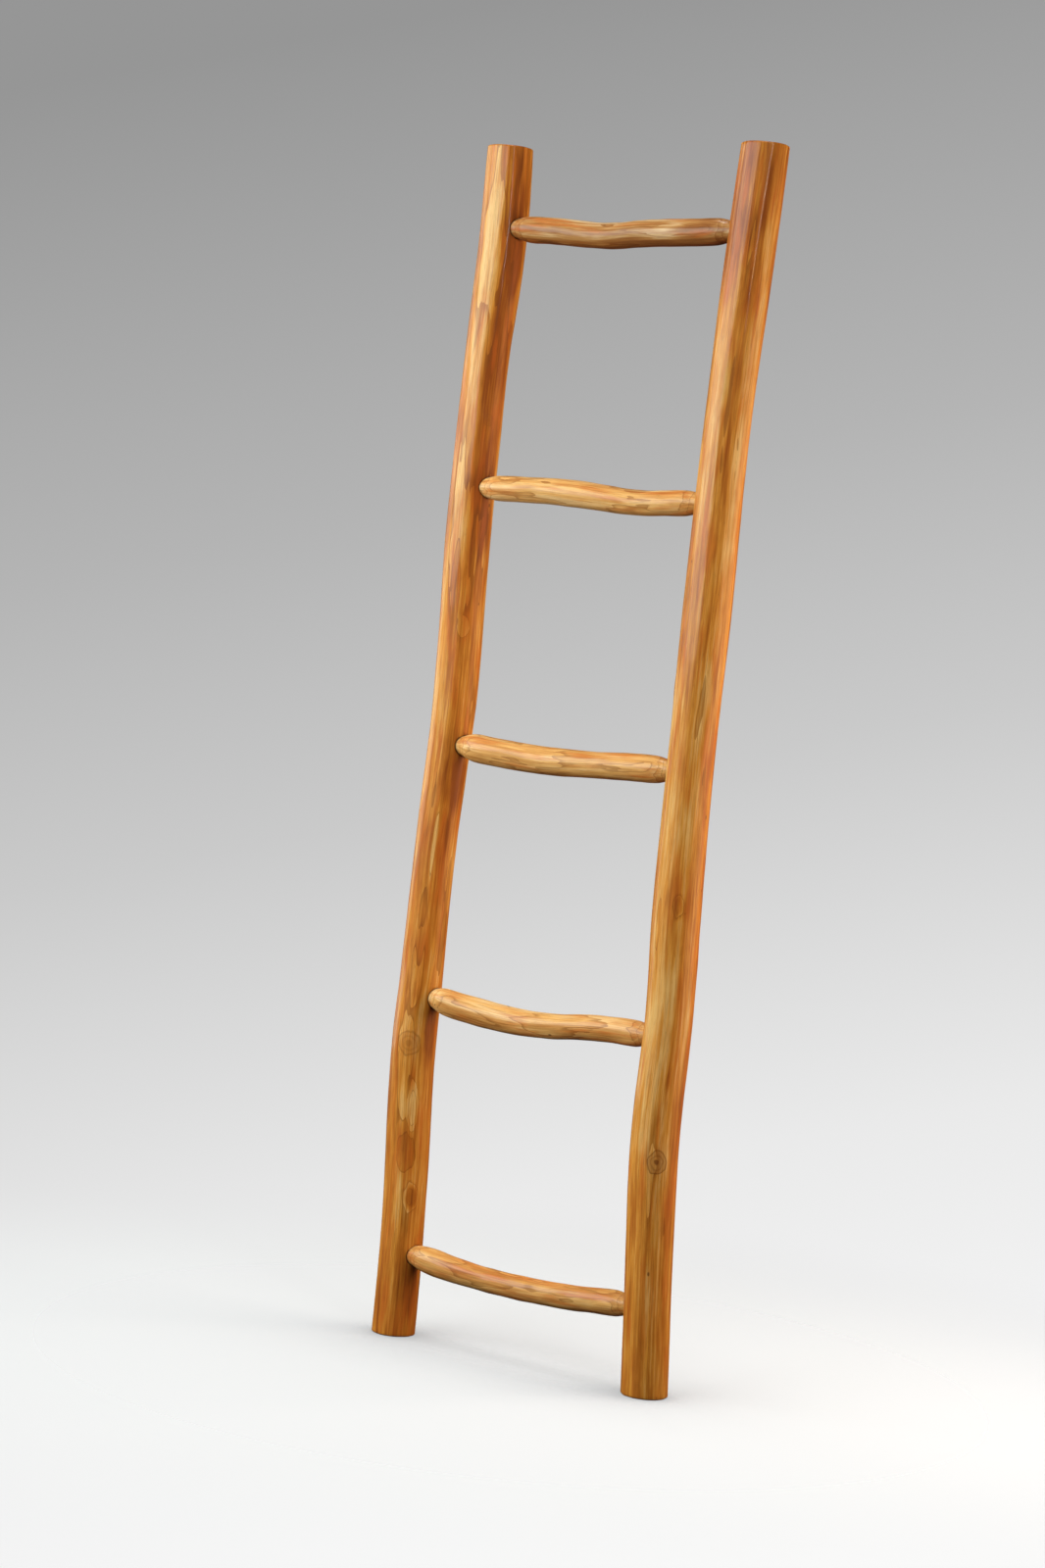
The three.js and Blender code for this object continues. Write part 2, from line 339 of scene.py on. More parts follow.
# %% Keep each point's place in the straightened branch
def keep_grain(piece, axes, centres, offset):
    """Stores the vector "grain": across, across and along the straightened branch, in metres."""
    points = np.empty(len(piece.data.vertices) * 3)
    piece.data.vertices.foreach_get("co", points)
    points = points.reshape(-1, 3)
    along = points[:, axes[2]]
    grain = np.column_stack([
        points[:, axes[0]] - centres[0](along),
        points[:, axes[1]] - centres[1](along),
        along + offset,
    ])
    layer = piece.data.attributes.new("grain", "FLOAT_VECTOR", "POINT")
    layer.data.foreach_set("vector", grain.astype(np.float32).ravel())


print("the grain runs along", "XYZ"[RAIL_AXES[2]], "in a rail,", "XYZ"[RUNG_AXES[2]], "in a rung")

# %% [markdown]
# ### Colours and nodes
#
# Two helpers keep the materials short. Wood is matched as a screen colour, but light adds up in linear
# values, so every hex colour passes through one function. A shader could be built by hand in the node
# editor, but a line of code for each node can be read from top to bottom.

# %% Two helpers for materials
def linear(hex_colour):
    """A linear RGBA colour from an sRGB hex value such as #C8823C."""
    parts = [int(hex_colour[i : i + 2], 16) / 255 for i in (1, 3, 5)]
    return (*[c / 12.92 if c <= 0.04045 else ((c + 0.055) / 1.055) ** 2.4 for c in parts], 1.0)


def add(tree, kind, inputs=None, output=0, **settings):
    """Adds a shader node and gives one of its outputs, if it has any. Each input, by its name or
    number, takes a plain value or another node's output."""
    node = tree.nodes.new("ShaderNode" + kind)
    for name, value in settings.items():
        setattr(node, name, value)
    for key, value in (inputs or {}).items():
        if isinstance(value, bpy.types.NodeSocket):
            tree.links.new(value, node.inputs[key])
        else:
            node.inputs[key].default_value = value
    return node.outputs[output] if node.outputs else node


def new_material(name):
    material = bpy.data.materials.new(name)
    material.use_nodes = True
    material.node_tree.nodes.clear()
    return material, material.node_tree


print("honey brown #CC8630 is", [round(c, 2) for c in linear("#CC8630")[:3]], "in linear values")

# %% [markdown]
# ### Growth rings
#
# All the figure of the wood is drawn in millimetres, in the straightened branch. A stretched
# noise is the base of it: cells a few millimetres across and many times as long. Pushed about
# by such noise, the distance from the pith says which year a point grew in and how far through
# that year, so the layers come out as long tongues and islands with a fine line round them.

# %% Draw the growth rings
def stretched(tree, grain, across, along, detail=2.0, roughness=0.5):
    """Noise from 0 to 1 with cells of about these sizes in mm, across and along the grain."""
    shrink = (1 / across, 1 / across, 1 / along)
    place = add(tree, "VectorMath", {0: grain, 1: shrink}, operation="MULTIPLY")
    settings = {"Vector": place, "Scale": 1.0, "Detail": detail, "Roughness": roughness}
    return add(tree, "TexNoise", settings)


def rise(tree, value, low, high):
    """Goes smoothly from 0 at low to 1 at high. Low may be the greater of the two."""
    if low < high:
        ends = {1: low, 2: high, 3: 0.0, 4: 1.0}
    else:
        ends = {1: high, 2: low, 3: 1.0, 4: 0.0}
    return add(tree, "MapRange", {0: value, **ends}, interpolation_type="SMOOTHSTEP")


def from_centre(tree, grain, centre, half_width, half_length):
    """Distance from a spot in the grain, as a share of its size, with a ragged edge."""
    way = add(tree, "VectorMath", {0: grain, 1: centre}, operation="SUBTRACT")
    size = (1 / half_width, 1 / half_width, 1 / half_length)
    share = add(tree, "VectorMath", {0: way, 1: size}, operation="MULTIPLY")
    share = add(tree, "VectorMath", {0: share}, "Value", operation="LENGTH")
    ragged = stretched(tree, grain, 0.8 * half_width, 0.8 * half_length, 1.0)
    return add(tree, "Math", {0: ragged, 1: 0.5, 2: share}, operation="MULTIPLY_ADD")


def years(tree, grain, ring_width, wander, islands):
    """The year that each point grew in, how far through it, and the tone that islands add."""
    level = add(tree, "VectorMath", {0: grain, 1: (1, 1, 0)}, operation="MULTIPLY")
    depth = add(tree, "VectorMath", {0: level}, "Value", operation="LENGTH")
    slow = stretched(tree, grain, 24, 320)
    depth = add(tree, "Math", {0: slow, 1: wander, 2: depth}, operation="MULTIPLY_ADD")
    quick = stretched(tree, grain, 6, 60, 1.0)
    depth = add(tree, "Math", {0: quick, 1: 0.12 * wander, 2: depth}, operation="MULTIPLY_ADD")
    tone = 0.0
    for centre, half_width, half_length, lift, shade in islands:
        away = from_centre(tree, grain, centre, half_width, half_length)
        hump = rise(tree, away, 1.5, 0.7)
        lifted = {0: hump, 1: lift * ring_width, 2: depth}
        depth = add(tree, "Math", lifted, operation="MULTIPLY_ADD")
        tone = add(tree, "Math", {0: hump, 1: shade, 2: tone}, operation="MULTIPLY_ADD")
    ring = add(tree, "Math", {0: depth, 1: ring_width}, operation="DIVIDE")
    year = add(tree, "Math", {0: ring}, operation="FLOOR")
    through = add(tree, "Math", {0: ring}, operation="FRACT")
    return year, through, tone


print("a rail of 30 mm radius, at 3.6 mm a year, grew for about", round(30 / 3.6), "years")

# %% [markdown]
# ### Knots
#
# A knot is a side branch that was cut off flush. It shows a fine dark line where the bark
# once was, a browner face with a ring of its own, and a small dark pith. A carved knot would
# be too fine a mesh, so distance from a spot in the grain draws them. A faint knot has an even
# fainter pith, so the pith goes by the square of its strength.

# %% Draw a knot
# Where each line of a knot rises and falls, as a share of the knot's size, and its strength.
BARK_LINE = ((1.12, 1.22), (1.36, 1.24), 1.0)
INNER_RING = ((0.76, 0.84), (0.98, 0.86), 0.6)


def knot_marks(tree, grain, knots):
    """How much face, line and pith of a knot there is at each point."""
    face, line, pith = 0.0, 0.0, 0.0
    for centre, half_width, half_length, strength in knots:
        away = from_centre(tree, grain, centre, half_width, half_length)
        inside = rise(tree, away, 1.3, 1.15)
        face = add(tree, "Math", {0: inside, 1: strength, 2: face}, operation="MULTIPLY_ADD")
        for rises, falls, much in (BARK_LINE, INNER_RING):
            sides = {0: rise(tree, away, *rises), 1: rise(tree, away, *falls)}
            ring = add(tree, "Math", sides, operation="MULTIPLY")
            line = add(tree, "Math", {0: ring, 1: much * strength, 2: line}, operation="MULTIPLY_ADD")
        heart = rise(tree, away, 0.62, 0.5)
        pith = add(tree, "Math", {0: heart, 1: strength ** 2, 2: pith}, operation="MULTIPLY_ADD")
    return face, line, pith


print("a knot's bark line lies between", BARK_LINE[0][0], "and", BARK_LINE[1][0], "of its size")

# %% [markdown]
# ### Lacquered teak
#
# Teak is a warm honey brown, and clear lacquer makes it deeper and more orange. The wood under
# it is nearly matt, and the lacquer gives the soft, slightly broken sheen. Fibres and pores
# are real at 0.1 mm to 0.3 mm, which is too fine to see from here, so they are drawn about
# four times as coarse.

# %% Colour the wood
def tinted(tree, colour, share, amount, hex_colour):
    """Mixes a tone into a colour where share says, up to amount."""
    much = add(tree, "Math", {0: share, 1: amount}, operation="MULTIPLY", use_clamp=True)
    return add(tree, "Mix", {0: much, 6: colour, 7: linear(hex_colour)}, 2, data_type="RGBA")


# Sizes across and along the grain in mm, detail, and how much tone each pattern brings.
STREAKS = ((45, 500, 2.0, 0.6), (13, 75, 3.0, 0.45), (5, 300, 1.0, 0.34), (2.2, 60, 2.0, 0.36))
YEAR_TONE, THROUGH_TONE = 0.11, -0.08
TONE_STOPS = (0.28, 0.44, 0.57, 0.76)


def layer_tone(tree, grain, ring_width, wander, islands):
    """How pale the wood is at each point, from 0 to 1, and how far through its year that is."""
    year, through, tone = years(tree, grain, ring_width, wander, islands)
    own = add(tree, "TexWhiteNoise", {"W": year}, noise_dimensions="1D")
    patterns = [(own, YEAR_TONE), (through, THROUGH_TONE)]
    patterns += [(stretched(tree, grain, w, h, detail), weight) for w, h, detail, weight in STREAKS]
    tone = add(tree, "Math", {0: tone, 1: 0.5 - 0.5 * sum(weight for p, weight in patterns)})
    for pattern, weight in patterns:
        tone = add(tree, "Math", {0: pattern, 1: weight, 2: tone}, operation="MULTIPLY_ADD")
    return tone, through


def wood_colour(tree, grain, tone, through, tones):
    """The colour of clean wood, and the fibre, pores and late wood that also shape its surface."""
    ramp = add(tree, "ValToRGB", {0: tone}).node
    stops = ramp.color_ramp.elements
    stops[0].position, stops[0].color = TONE_STOPS[0], linear(tones[0])
    stops[1].position, stops[1].color = TONE_STOPS[3], linear(tones[3])
    stops.new(TONE_STOPS[1]).color = linear(tones[1])
    stops.new(TONE_STOPS[2]).color = linear(tones[2])
    colour = ramp.outputs[0]

    flush = rise(tree, stretched(tree, grain, 9, 80), 0.48, 0.68)
    flush = add(tree, "Math", {0: flush, 1: rise(tree, tone, 0.76, 0.5)}, operation="MULTIPLY")
    colour = tinted(tree, colour, flush, 0.5, "#C05E1C")
    fibre = stretched(tree, grain, 0.9, 45, 3.0, 0.65)
    colour = tinted(tree, colour, rise(tree, fibre, 0.4, 0.75), 0.5, "#7E4314")
    pores = rise(tree, stretched(tree, grain, 0.9, 11, 1.0), 0.66, 0.74)
    colour = tinted(tree, colour, pores, 0.25, "#5A2E10")
    late_wood = rise(tree, through, 0.82, 0.97)
    colour = tinted(tree, colour, late_wood, 0.4, "#6E3A10")
    cells = add(tree, "VectorMath", {0: grain, 1: (1 / 34, 1 / 34, 1 / 70)}, operation="MULTIPLY")
    speck = add(tree, "TexVoronoi", {"Vector": cells, "Scale": 1.0}, "Distance")
    colour = tinted(tree, colour, rise(tree, speck, 0.05, 0.03), 0.7, "#4A2410")
    return colour, fibre, pores, late_wood


# %% [markdown]
# The same patterns then shape the lacquered surface. Paint on a flat shader would look printed, so
# fibres and swellings raise it a little and pores and lines sink into it. End grain drinks more
# lacquer, so it is darker. The joints and creases are darkened too, where nearby wood hides the open
# air: that is painted shade, standing in for the shadow in the gaps.

# %% Darken the end grain, paint shade into the joints, and lacquer the wood
def lacquered_teak(name, tones, ring_width, wander, along, islands=(), knots=()):
    """Teak under clear lacquer. tones are its layers from dark to pale, ring_width and wander
    are in mm, and along is the branch's direction."""
    material, tree = new_material(name)
    metres = add(tree, "Attribute", output="Vector", attribute_name="grain")
    grain = add(tree, "VectorMath", {0: metres, "Scale": 1 / MM}, operation="SCALE")
    tone, through = layer_tone(tree, grain, ring_width, wander, islands)
    colour, fibre, pores, late_wood = wood_colour(tree, grain, tone, through, tones)

    face, line, pith = knot_marks(tree, grain, knots)
    if knots:
        colour = tinted(tree, colour, face, 0.35, "#8A4E22")
        colour = tinted(tree, colour, line, 0.6, "#6A3208")
        colour = tinted(tree, colour, pith, 0.7, "#5E2604")

    normal = add(tree, "NewGeometry", output="Normal")
    facing = add(tree, "VectorMath", {0: normal, 1: along}, "Value", operation="DOT_PRODUCT")
    facing = add(tree, "Math", {0: facing}, operation="ABSOLUTE")
    colour = tinted(tree, colour, rise(tree, facing, 0.3, 0.9), 0.5, "#6B3413")
    # Painted shade: the wood turns dark brown where nearby wood hides the open air, in the joints and
    # creases.
    openness_for_painted_shade = add(tree, "AmbientOcclusion", {"Distance": 6 * MM}, "AO", samples=8)
    colour = tinted(tree, colour, rise(tree, openness_for_painted_shade, 0.85, 0.3), 0.75, "#5A2A10")

    swelling = stretched(tree, grain, 10, 60)
    relief = add(tree, "Math", {0: fibre, 1: 0.25, 2: swelling}, operation="MULTIPLY_ADD")
    furrows = add(tree, "Math", {0: pores, 1: late_wood, 2: line}, operation="ADD")
    relief = add(tree, "Math", {0: furrows, 1: -0.2, 2: relief}, operation="MULTIPLY_ADD")
    bump = add(tree, "Bump", {"Strength": 0.45, "Distance": 0.4 * MM, "Height": relief})
    sheen = stretched(tree, grain, 15, 80)
    rough = add(tree, "Math", {0: sheen, 1: 0.16, 2: 0.4}, operation="MULTIPLY_ADD")
    wood = add(tree, "BsdfPrincipled", {
        "Base Color": colour, "Roughness": rough, "Normal": bump,
        "IOR": 1.5, "Specular IOR Level": 0.15,
        "Coat Weight": 0.32, "Coat Roughness": 0.13, "Coat IOR": 1.5,
    })
    add(tree, "OutputMaterial", {"Surface": wood})
    print(name, "has", len(tree.nodes), "nodes")
    return material


# %% [markdown]
# ## The rails
#
# A rail is a branch about 60 mm thick, sawn square at both ends, with the saw's edge eased by
# sandpaper. Its rows run every few millimetres along the measured curve.

# %% Measure the branches
def branch_curves(node, axes, least_points):
    """Curves for the two centres and the radius of a branch, read from its rings."""
    rings = whole_rings(node, axes, least_points)
    return [curve_through(rings[:, 0], rings[:, i]) for i in (1, 2, 3)]


curves = {}
for side in SIDES:
    curves[f"{side}_rail"] = branch_curves(f"{side}_rail", RAIL_AXES, 24)
for number in range(1, RUNG_COUNT + 1):
    curves[f"rung_{number}"] = branch_curves(f"rung_{number}", RUNG_AXES, 16)
for name, (*_, radius) in curves.items():
    print(name, "is about", round(2 * float(radius(0.0 if "rung" in name else 0.8)) / MM), "mm thick")

# %% [markdown]
# The rails' knots stand on low mounds, where the tree grew round the side branch. They are few and each
# has its own look, so they are listed one by one instead of scattered.

# %% Place the knots
# Azimuth round the rail (0 is the front, 90 the right) in degrees, height, half width and
# half length in mm, the height of the mound in mm, and how strongly it is drawn.
KNOTS = {
    "left_rail": [
        (25, 397, 15, 17, 1.2, 0.6),
        (60, 1235, 6, 8, 0.5, 0.4),
        (190, 860, 12, 14, 1.2, 0.8),
    ],
    "right_rail": [
        (41, 304, 12, 15, 0.9, 1.0),
        (-60, 905, 8, 10, 0.8, 0.8),
        (170, 560, 12, 15, 1.2, 0.9),
    ],
}


def knots_of(rail):
    """The rail's knots as [angle in the ring, place, radius, mound], in radians and metres."""
    knots = []
    for azimuth, height, half_width, half_length, mound, strength in KNOTS[rail]:
        knots.append((math.radians(azimuth - 90), height * MM, half_width * MM, mound * MM))
    return knots


print("the rails have", sum(len(knots) for knots in KNOTS.values()), "knots")

# %% [markdown]
# Each rail's rows then take the knife's flats, the waves and the mounds, and both its ends are
# eased. The Bevel modifier could ease them, but would follow every small facet round the rim.

# %% Build the rails
RAIL_SIDES = 96
RAIL_STEP = 4 * MM
EASED_EDGE = 2 * MM
EASING_STEPS = 4
RAIL_CUT = 0.65 * MM
RAIL_SWAY = 0.14
# How many lobes each wave has round the branch, the range of lengths along it in metres, and
# the height. The first waves are the tree's own, the second ones are the hand's.
RAIL_WAVES = (
    ((2, 3, 3, 4), (0.12, 0.4), 0.35 * MM),
    ((5, 6, 7, 8), (0.03, 0.08), 0.06 * MM),
)
END_SHARES = (0.12, 0.4, 0.7, 0.9)
# Azimuths of the drawknife's flats in degrees. The ridges between them split light from shade.
RAIL_FLATS = {
    "left_rail": (-58, -20, 17, 54, 92, 131, 172, 214, 258),
    "right_rail": (-72, -38, -3, 34, 72, 110, 150, 192, 238),
}


def branch_rows(axes, centres, radii, places, angles):
    return [
        ring_points(axes, z, (centres[0](z), centres[1](z)), radii[i], angles)
        for i, z in enumerate(places)
    ]


def eased(radius, share):
    """How far in and how far along a rounded edge lies, at a share of its quarter turn."""
    turn = share * math.pi / 2
    return radius - EASED_EDGE * (1 - math.sin(turn)), EASED_EDGE * (1 - math.cos(turn))


def rail_body(name, random):
    centre_x, centre_y, radius = curves[name]
    low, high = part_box(name)
    steps = round((high.z - low.z - 2 * EASED_EDGE) / RAIL_STEP)
    places = np.linspace(low.z + EASED_EDGE, high.z - EASED_EDGE, steps + 1)[:, None]
    angles = np.linspace(0, math.tau, RAIL_SIDES, endpoint=False)[None, :]
    starts = np.radians(np.array(RAIL_FLATS[name]) - 90)
    radii = knife_flats(random, places, angles, radius(places), starts, RAIL_CUT, RAIL_SWAY)
    for wave in RAIL_WAVES:
        radii = radii + long_waves(random, places, angles, *wave)
    radii = radii + knot_swelling(places, angles, radius(places), knots_of(name))
    angles, places = angles[0], places[:, 0]
    rows, rest = [], []
    for ends, radius_row, start, way in ((rows, radii[0], low.z, 1), (rest, radii[-1], high.z, -1)):
        at = (centre_x(start), centre_y(start))
        inner = eased(radius_row, 0)[0]
        ends += [ring_points(RAIL_AXES, start, at, inner * share, angles) for share in END_SHARES]
        for step in range(EASING_STEPS):
            ring, along = eased(radius_row, step / EASING_STEPS)
            ends.append(ring_points(RAIL_AXES, start + way * along, at, ring, angles))
    rows += branch_rows(RAIL_AXES, (centre_x, centre_y), radii, places, angles)
    return skin(name.replace("_rail", "_branch"), np.array(rows + rest[::-1]))


rails = {}
for i, side in enumerate(SIDES):
    rails[side] = rail_body(f"{side}_rail", np.random.default_rng(40 + i))
for side, rail in rails.items():
    print(side, "rail has", len(rail.data.polygons), "faces")

# %% [markdown]
# ## The rungs
#
# A rung is a thinner branch. Its last 20 mm at each end are whittled to a rounded shoulder
# that runs into the tenon. The shoulder is in the measured rings, so the rung only adds the
# drawknife's work to it, and that fades out before the tenon, which has to stay round to fit.

# %% Build the rungs
RUNG_SIDES = 56
RUNG_STEP = 3 * MM
TENON_EDGE = 1.5 * MM
RUNG_FLATS = 7
RUNG_CUT = 0.45 * MM
RUNG_SWAY = 0.25
WAVIER = 3
RUNG_WAVES = (
    ((2, 3, 3, 4), (0.05, 0.16), 0.3 * MM),
    ((1, 2, 5, 6), (0.02, 0.05), 0.08 * MM),
)
# The knife's work starts where the rung is this much thicker than its tenon, and is full
# where it is thicker by this much more.
BARE_OVER = 0.3 * MM
WORKED_OVER = 1.5 * MM


def rung_body(name, random):
    centre_y, centre_z, radius = curves[name]
    low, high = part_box(name)
    steps = round((high.x - low.x - 2 * TENON_EDGE) / RUNG_STEP)
    places = np.linspace(low.x + TENON_EDGE, high.x - TENON_EDGE, steps + 1)[:, None]
    angles = np.linspace(0, math.tau, RUNG_SIDES, endpoint=False)[None, :]
    rounded = radius(places)
    tenon = rounded[0]
    body = np.clip((rounded - tenon - BARE_OVER) / WORKED_OVER, 0, 1)
    shifts = random.uniform(-0.35, 0.35, RUNG_FLATS)
    starts = math.tau * (np.arange(RUNG_FLATS) + shifts) / RUNG_FLATS
    left = knife_flats(random, places * WAVIER, angles, rounded, starts, RUNG_CUT, RUNG_SWAY)
    cut = left - rounded
    for wave in RUNG_WAVES:
        cut = cut + long_waves(random, places, angles, *wave)
    radii = rounded + body * cut
    angles, places = angles[0], places[:, 0]
    end = (tenon - TENON_EDGE) * np.ones(RUNG_SIDES)
    first, last = [
        ring_points(RUNG_AXES, x, (centre_y(x), centre_z(x)), end, angles) for x in (low.x, high.x)
    ]
    rows = branch_rows(RUNG_AXES, (centre_y, centre_z), radii, places, angles)
    return skin(name.replace("rung", "rung_branch"), np.array([first, *rows, last]))


rungs = {n: rung_body(f"rung_{n}", np.random.default_rng(60 + n)) for n in range(1, RUNG_COUNT + 1)}
print("rungs of", [len(rung.data.polygons) for rung in rungs.values()], "faces")

# %% [markdown]
# ## The plugs
#
# A plug is glued over each screw and pared flush once the glue is dry. So its outer face has
# to follow the rail exactly. Its rings are cast onto the rail's surface before that is drilled.

# %% Build the plugs
from mathutils.bvhtree import BVHTree

PLUG_SIDES = 40
PLUG_SHARES = (0.95, 0.7, 0.4, 0.12)
INNER_SHARES = (0.3, 0.97)
INNER_EDGE = 0.2 * MM
OUTER_EDGE = 0.15 * MM


def plug_body(side, number, tree):
    low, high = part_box(f"{side}_plug_{number}")
    centre = (low + high) / 2
    radius = (high.z - low.z) / 2
    angles = np.linspace(0, math.tau, PLUG_SIDES, endpoint=False)
    at = (centre.z, centre.x)
    inner = [ring_points(SCREW_AXES, low.y, at, radius * share, angles) for share in INNER_SHARES]
    inner.append(ring_points(SCREW_AXES, low.y + INNER_EDGE, at, radius, angles))
    outer = []
    for share in (1.0, *PLUG_SHARES):
        ring = ring_points(SCREW_AXES, high.y + CLEAR_OF_RAIL, at, radius * share, angles)
        for point in ring:
            point[1] = tree.ray_cast(Vector(point), Vector((0, -1, 0)))[0].y
        outer.append(ring)
    outer[0][:, 1] -= OUTER_EDGE
    return skin(f"{side}_plug_flush_{number}", np.array(inner + outer))


plugs = {}
for side, rail in rails.items():
    bvh = BVHTree.FromObject(rail, bpy.context.evaluated_depsgraph_get())
    for number in range(1, RUNG_COUNT + 1):
        plugs[side, number] = plug_body(side, number, bvh)
print(len(plugs), "plugs")

# %% [markdown]
# ## Drilling
#
# Now the rails are drilled for the tenons, and rails and tenons together for the screws. All
# the holes of a rail are cut in two goes, as each Boolean has to rebuild the whole branch.

# %% Drill the rails and the rungs
HOLE_SIDES = 64
MORTISE_DEEPER = 1 * MM
DRILL_REACH = 60 * MM


def mortise_drill(side, number):
    """The drill for a tenon, a little longer and wider than the tenon itself."""
    low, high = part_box(f"rung_{number}")
    centre_y, centre_z, radius = curves[f"rung_{number}"]
    end = low.x if side == "left" else high.x
    inward = 1 if side == "left" else -1
    bottom = end - inward * MORTISE_DEEPER
    mouth = end + inward * DRILL_REACH
    bore = float(radius(end)) + GLUE_GAP
    profile = sorted([(bottom, bore), (mouth, bore)])
    at = (float(centre_y(end)), float(centre_z(end)))
    return turned("drill", RUNG_AXES, at, profile, HOLE_SIDES)


numbers = range(1, RUNG_COUNT + 1)
for side, rail in rails.items():
    mortises = joined("mortises", [mortise_drill(side, n) for n in numbers])
    screw_holes = joined("screw_holes", [screw_drill(side, n) for n in numbers])
    drilled(rail, [mortises, screw_holes])
for number, rung in rungs.items():
    drilled(rung, [joined("screw_holes", [screw_drill(side, number) for side in SIDES])])
print("drilled rails have", [len(rail.data.polygons) for rail in rails.values()], "faces")

# %% [markdown]
# ## Finishing every piece
#
# Each piece gets smooth shading with crisp edges at the holes, its grain and its wood, and takes the
# place of its measured solid. Noise alone would give every branch the same mix of marks, and a real
# ladder has a few large ones, so those are listed one by one.
# Some of the marks below are painted light and shade, not wood, and are noted where they stand.

# %% Set out the tones and the marks
RAIL_TONES = ("#8A4411", "#B2671E", "#CC8630", "#DEAE66")
RUNG_TONES = ("#A8682E", "#C78C49", "#D8A35E", "#E6BE84")
TOP_RUNG_TONES = ("#6C3C1A", "#8C582A", "#A87842", "#D8B88A")
PLUG_TONES = ("#84481C", "#9C5C26", "#AC6E30", "#BE843F")
UP, ACROSS, BACK = (0, 0, 1), (1, 0, 0), (0, 1, 0)

# Azimuth round the rail in degrees, height, half width and half length in mm, how many years the layers
# are lifted, and how much paler (or, below 0, browner) the island is. Most are the wood's own tone. The
# ones noted below are painted light and shade.
ISLANDS = {
    "left_rail": [
        (46, 309, 7, 36, 1.4, 0.2),
        (31, 250, 17, 42, -1.3, -0.14),
        (56, 190, 10, 18, 1.2, -0.16),
        (30, 60, 40, 100, 0.0, -0.14),
        (28, 405, 26, 50, 0.0, 0.1),
        (-20, 700, 14, 400, 0.0, 0.1),
        # Partly painted light: paler on the lit upper front, partly the wood's own pale layer.
        (8, 1380, 15, 260, 0.0, 0.24),
        # Painted shade: browner down the upper right side, turned away from the main lamps.
        (68, 1320, 20, 340, 0.0, -0.24),
        # Painted shadow under a rung joint.
        (52, 755, 14, 34, 0.0, -0.16),
        (28, 505, 12, 60, 0.9, -0.07),
        (58, 640, 7, 90, 0.7, -0.12),
        (32, 668, 4, 60, 0.8, 0.2),
        # Painted light: paler down the lower right edge, where the right panel lights it.
        (88, 190, 16, 150, 0.0, 0.08),
        (44, 958, 8, 14, 0.9, 0.1),
        (15, 1015, 6, 60, -0.8, -0.06),
    ],
    "right_rail": [
        (36, 631, 8, 16, 0.8, -0.16),
        (-13, 603, 5, 40, -0.9, -0.1),
        (35, 1440, 5, 90, 0.6, -0.12),
        (20, 430, 28, 150, 0.0, 0.1),
        # Painted light: paler down the upper right side, where the right panel lights it.
        (75, 1300, 14, 330, 0.0, 0.1),
        (28, 230, 4, 90, 0.4, -0.05),
        (46, 440, 4, 60, 0.3, -0.1),
        # Painted light: paler low on the right side, which is lit more.
        (72, 170, 34, 240, 0.0, 0.09),
        (-12, 1510, 22, 130, 0.0, -0.2),
    ],
}


# Below each joint the wood is browner: a painted shadow of the rung, with some stain where lacquer and
# dust have gathered. The height is measured from the middle of the rung.
JOINT_SHADOW_AND_STAIN = {
    "left_rail": (80, -48, 12, 45, 0.0, -0.2),
    "right_rail": (-80, -48, 12, 45, 0.0, -0.2),
}

# The width of a year and how far the rings wander, in mm.
RAIL_RING, RUNG_RING, PLUG_RING = 3.6, 2.0, 1.8
RAIL_WANDER = {"left_rail": 9.0, "right_rail": 6.0}
RUNG_WANDER, PLUG_WANDER = 6.0, 5.0
# How far each kind of piece is shifted along the grain, in metres, so that no two are alike.
RAIL_SHIFT, RUNG_SHIFT, PLUG_SHIFT = 2.0, 4.0, 10.0
# A plug is cut from a straight bar, whose pith lies this far to one side.
PITH_ASIDE = 12 * MM
print("marks set out by hand:", sum(len(marks) for marks in ISLANDS.values()))

# %% [markdown]
# A mark is set out on the rail's surface, by azimuth and height, because that is how a maker
# would point at it. The shader needs it in the straightened branch, so it is moved there.

# %% Give each piece its wood
SHARP_ANGLE = math.radians(35)


def in_grain(rail, azimuth, height, offset):
    """A spot on the surface of a rail, in mm in its straightened branch."""
    turn = math.radians(azimuth - 90)
    reach = float(curves[rail][2](height * MM)) / MM
    return (reach * math.cos(turn), reach * math.sin(turn), height + offset / MM)


def finished(piece, node, material):
    for face in piece.data.polygons:
        face.use_smooth = True
    piece.data.set_sharp_from_angle(angle=SHARP_ANGLE)
    piece.data.materials.clear()
    piece.data.materials.append(material)
    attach(piece, "root")
    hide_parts(node)


for i, (side, rail) in enumerate(rails.items()):
    name, offset = f"{side}_rail", RAIL_SHIFT * i
    keep_grain(rail, RAIL_AXES, curves[name][:2], offset)
    spots = list(ISLANDS[name])
    # A painted shadow, with some stain, below each rung joint.
    for number in range(1, RUNG_COUNT + 1):
        a, below, *rest = JOINT_SHADOW_AND_STAIN[name]
        spots.append((a, middle(f"{side}_plug_{number}").z / MM + below, *rest))
    islands = [(in_grain(name, a, z, offset), *rest) for a, z, *rest in spots]
    knots = []
    for a, z, half_width, half_length, mound, strength in KNOTS[name]:
        knots.append((in_grain(name, a, z, offset), half_width, half_length, strength))
    wood = lacquered_teak(
        f"{side}_rail_lacquered_teak", RAIL_TONES, RAIL_RING, RAIL_WANDER[name], UP, islands, knots
    )
    finished(rail, name, wood)

